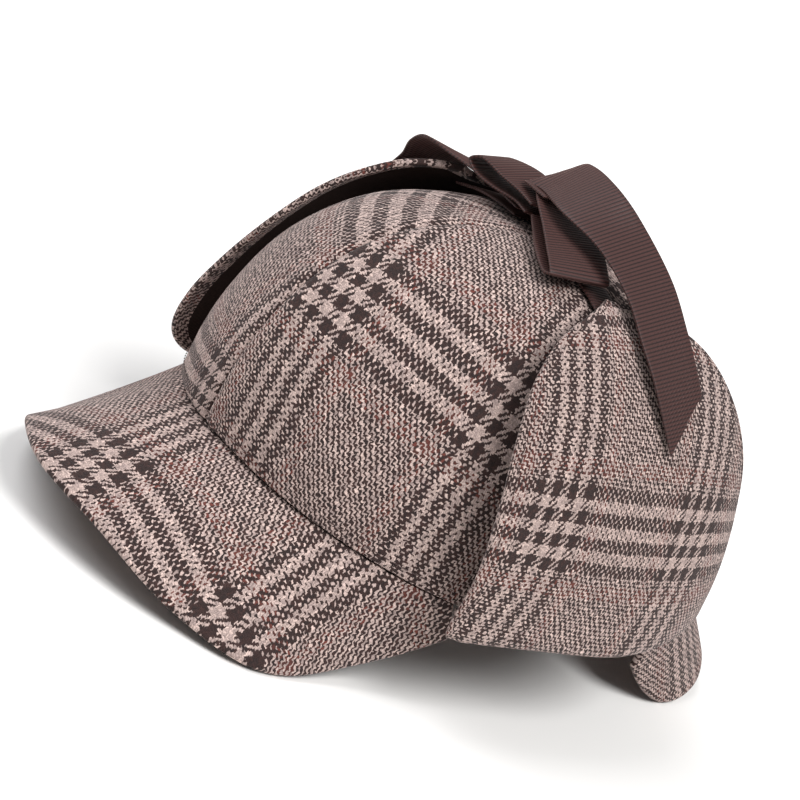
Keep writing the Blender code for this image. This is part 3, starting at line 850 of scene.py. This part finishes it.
# A Geometry Nodes tree that lays one stitch after another along a line
def stitchTree():
    tree = bpy.data.node_groups.new("topstitching", "GeometryNodeTree")
    tree.interface.new_socket(name="Line", in_out="INPUT", socket_type="NodeSocketGeometry")
    for label in ("Stitch Length", "Space", "Thread Thickness", "Stray Turn"):
        tree.interface.new_socket(name=label, in_out="INPUT", socket_type="NodeSocketFloat")
    tree.interface.new_socket(name="Thread", in_out="INPUT", socket_type="NodeSocketMaterial")
    tree.interface.new_socket(name="Stitches", in_out="OUTPUT", socket_type="NodeSocketGeometry")
    node = partial(addNode, tree)
    given = node("NodeGroupInput").node.outputs
    length, thick, turn = given["Stitch Length"], given["Thread Thickness"], given["Stray Turn"]
    pitch = node("Math", length, given["Space"], operation="ADD")
    line = node("GeometryNodeMeshToCurve", Mesh=given["Line"])
    line = node("GeometryNodeResampleCurve", mode="LENGTH", Curve=line, Length=pitch)
    bead = node("GeometryNodeMeshUVSphere",
                Segments=stitchMake["sides"], Rings=stitchMake["rings"], Radius=0.5)
    bead = node("GeometryNodeTransform", Geometry=bead, Scale=node("CombineXYZ", thick, thick, length))
    tangent = node("GeometryNodeInputTangent")
    facing = node("FunctionNodeAlignRotationToVector", axis="Z", Vector=tangent)
    # each stitch lies a little askew
    most = node("CombineXYZ", turn, turn, 0.0)
    least = node("VectorMath", most, -1.0, operation="SCALE")
    askew = node("FunctionNodeRandomValue", data_type="FLOAT_VECTOR",
                 Min=least, Max=most, Seed=stitchMake["seed"])
    turned = node("FunctionNodeRotateRotation", rotation_space="LOCAL", Rotation=facing, Rotate_By=askew)
    placed = node("GeometryNodeInstanceOnPoints", Points=line, Instance=bead, Rotation=turned)
    real = node("GeometryNodeRealizeInstances", Geometry=placed)
    soft = node("GeometryNodeSetShadeSmooth", Geometry=real)
    done = node("GeometryNodeSetMaterial", Geometry=soft, Material=given["Thread"])
    node("NodeGroupOutput", Stitches=done)
    return tree


stitching = stitchTree()


def stitchRow(name, points):
    line = bpy.data.meshes.new(name)
    line.from_pydata([tuple(standing(p)) for p in points], [(k, k + 1) for k in range(len(points) - 1)], [])
    piece = inScene(name, line)
    rows = piece.modifiers.new("topstitching", "NODES")
    rows.node_group = stitching
    values = {
        "Stitch Length": stitchMake["length"] * mm, "Space": stitchMake["space"] * mm,
        "Thread Thickness": stitchMake["thick"] * mm, "Stray Turn": math.radians(stitchMake["strayTurn"]),
        "Thread": thread,
    }
    for socket in stitching.interface.items_tree:
        if socket.name in values:
            rows[socket.identifier] = values[socket.name]
    made = bpy.data.meshes.new_from_object(piece.evaluated_get(bpy.context.evaluated_depsgraph_get()))
    piece.modifiers.clear()
    piece.data = made
    inPlace(piece, "grosgrain")


# Above each peak's seam, on the crown
for name, peak in peaks.items():
    reach, last = peak["halfAngle"] - stitchMake["shortOfEnds"], stitchMake["points"] - 1
    angles = [peak["faces"] + reach * (k / (last / 2) - 1) for k in range(last + 1)]
    stitchRow(name + "_topstitch", [
        crownPoint(angle, stitchMake["latitude"], stitchMake["standOff"]) for angle in angles])
for name, seam in flapSeams.items():
    stitchRow(name + "_topstitch", seam)
print("stitching made")

# Matt painted board, in metres, with a hardly visible mottle from the roller
floorLook = {
    "size": 9.0, "paint": "f4f3f1", "mottle": "e8e6e2", "mottled": 0.02, "scale": 6.0, "roughness": 0.8,
}


def makeFloor(look):
    half = look["size"] / 2
    mesh = bpy.data.meshes.new("floor")
    corners = [(-half, -half, 0), (half, -half, 0), (half, half, 0), (-half, half, 0)]
    mesh.from_pydata(corners, [], [(0, 1, 2, 3)])
    made, node = newMaterial("studio_floor")
    place = node("TexCoord").node.outputs["Object"]
    mottle = node("TexNoise", place, Scale=look["scale"], Detail=3.0)
    share = node("Math", mottle, look["mottled"], operation="MULTIPLY")
    shade = node("Mix", share, linear(look["paint"]), linear(look["mottle"]), data_type="RGBA")
    node("OutputMaterial", node("BsdfPrincipled", Base_Color=shade, Roughness=look["roughness"]))
    mesh.materials.append(made)
    inScene("floor", mesh)


makeFloor(floorLook)

# The photographer's place: degrees round the hat, above level and of camera roll, and millimetres
# to the hat, of the lens and from the middle of the rim to where it aims
shot = {"azimuth": 49.40, "elevation": 18.66, "roll": 28.69, "distance": 1150.0, "lens": 148.5,
        "aimUp": 17.62, "aimLeft": 25.29, "sensor": 36.0, "clip": (0.05, 50.0)}     # clip is in metres


def cameraAxes(shot):
    a, e, r = (math.radians(shot[key]) for key in ("azimuth", "elevation", "roll"))
    back = Vector((math.sin(a) * math.cos(e), -math.cos(a) * math.cos(e), math.sin(e)))
    level = Vector((math.cos(a), math.sin(a), 0))
    upright = back.cross(level)
    right = level * math.cos(r) + upright * math.sin(r)
    up = upright * math.cos(r) - level * math.sin(r)
    return level, right, up, back


def makeCamera(shot):
    level, right, up, back = cameraAxes(shot)
    aim = Vector((0, 0, shot["aimUp"])) - shot["aimLeft"] * level
    place = standing(aim + shot["distance"] * back)
    data = bpy.data.cameras.new("camera")
    data.lens, data.sensor_width = shot["lens"], shot["sensor"]
    data.clip_start, data.clip_end = shot["clip"]
    camera = inScene("camera", data)
    turned = Matrix([standTurn @ axis for axis in (right, up, back)]).transposed()
    camera.matrix_world = Matrix.Translation(place) @ turned.to_4x4()
    bpy.context.scene.camera = camera


makeCamera(shot)

# Wide far-off soft boxes: azimuth from the forehead towards the left ear, height above level,
# and how wide each looks from the hat, in degrees
lights = {
    "key": {"azimuth": 94, "elevation": 52, "width": 34, "strength": 2.95, "tint": "ffffff"},
    "fill": {"azimuth": -42, "elevation": 54, "width": 50, "strength": 2.15, "tint": "fbfcff"},
    "glow": 0.3, "glowTint": "ffffff",
    "away": 2.0,        # metres; only for the eye, because a sun shines the same from anywhere
}


def makeLights(lights):
    for name in ("key", "fill"):
        box = lights[name]
        data = bpy.data.lights.new(name, "SUN")
        data.angle = math.radians(box["width"])
        data.energy = box["strength"]
        data.color = linear(box["tint"])[:3]
        a, e = math.radians(box["azimuth"]), math.radians(box["elevation"])
        towards = Vector((math.sin(a) * math.cos(e), -math.cos(a) * math.cos(e), math.sin(e)))
        lamp = inScene(name, data)
        lamp.location = towards * lights["away"]
        lamp.rotation_mode = "QUATERNION"
        lamp.rotation_quaternion = towards.to_track_quat("Z", "Y")
    world = bpy.data.worlds.new("studio")
    world.use_nodes = True
    glow = world.node_tree.nodes["Background"]
    glow.inputs["Color"].default_value = linear(lights["glowTint"])
    glow.inputs["Strength"].default_value = lights["glow"]
    bpy.context.scene.world = world


makeLights(lights)
bpy.context.scene.view_settings.view_transform = "Standard"
print("floor, light and camera made")
